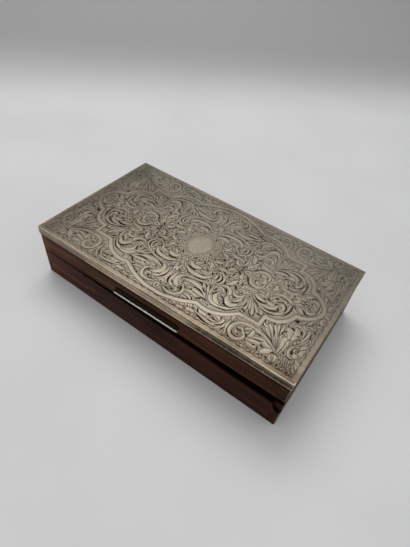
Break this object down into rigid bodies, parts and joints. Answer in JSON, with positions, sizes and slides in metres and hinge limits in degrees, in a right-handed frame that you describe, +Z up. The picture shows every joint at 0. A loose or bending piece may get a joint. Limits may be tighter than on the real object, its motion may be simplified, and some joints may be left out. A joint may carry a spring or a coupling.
{
  "type": "cigar box",
  "caption": "Rectangular hardwood cigar box, lined with cedar, with a hinged lid capped in engraved sheet silver, a silver thumb piece and flush brass butt hinges.",
  "frame": {"origin": "centre of the underside, on the surface that the box stands on", "axes": "+X to the right along the front, the longest way; +Y from the front to the hinges; +Z up, the shortest way"},
  "size_m": [0.21, 0.119, 0.0531],
  "materials": {
    "hardwood": "old hand-rubbed satin polish, dark reddish brown",
    "cedar": "bare planed cedar",
    "silver": "engraved sheet silver, softly tarnished",
    "brass": "aged satin brass"
  },
  "bodies": {
    "base": {"base_front_board": "hardwood", "base_back_board": "hardwood", "base_left_board": "hardwood", "base_right_board": "hardwood", "base_bottom_panel": "hardwood", "lining_floor": "cedar", "lining_front": "cedar", "lining_back": "cedar", "lining_left": "cedar", "lining_right": "cedar", "left_hinge_base_leaf": "brass", "left_hinge_pin": "brass", "right_hinge_base_leaf": "brass", "right_hinge_pin": "brass", "hinge_base_screws": "brass"},
    "lid": {"lid_front_rail": "hardwood", "lid_back_rail": "hardwood", "lid_left_rail": "hardwood", "lid_right_rail": "hardwood", "lid_top_panel": "hardwood", "lid_lining_panel": "cedar", "cover_plate": "silver", "cover_plate_pins": "silver", "thumb_piece": "silver", "thumb_piece_pins": "silver", "left_hinge_lid_leaf": "brass", "right_hinge_lid_leaf": "brass", "hinge_lid_screws": "brass"}
  },
  "joints": [
    {"name": "lid_hinge", "type": "hinge", "parent": "base", "child": "lid", "pos_m": [0, 0.0553, 0.02415], "axis": [-1, 0, 0], "range_deg": [0, 97]}
  ]
}
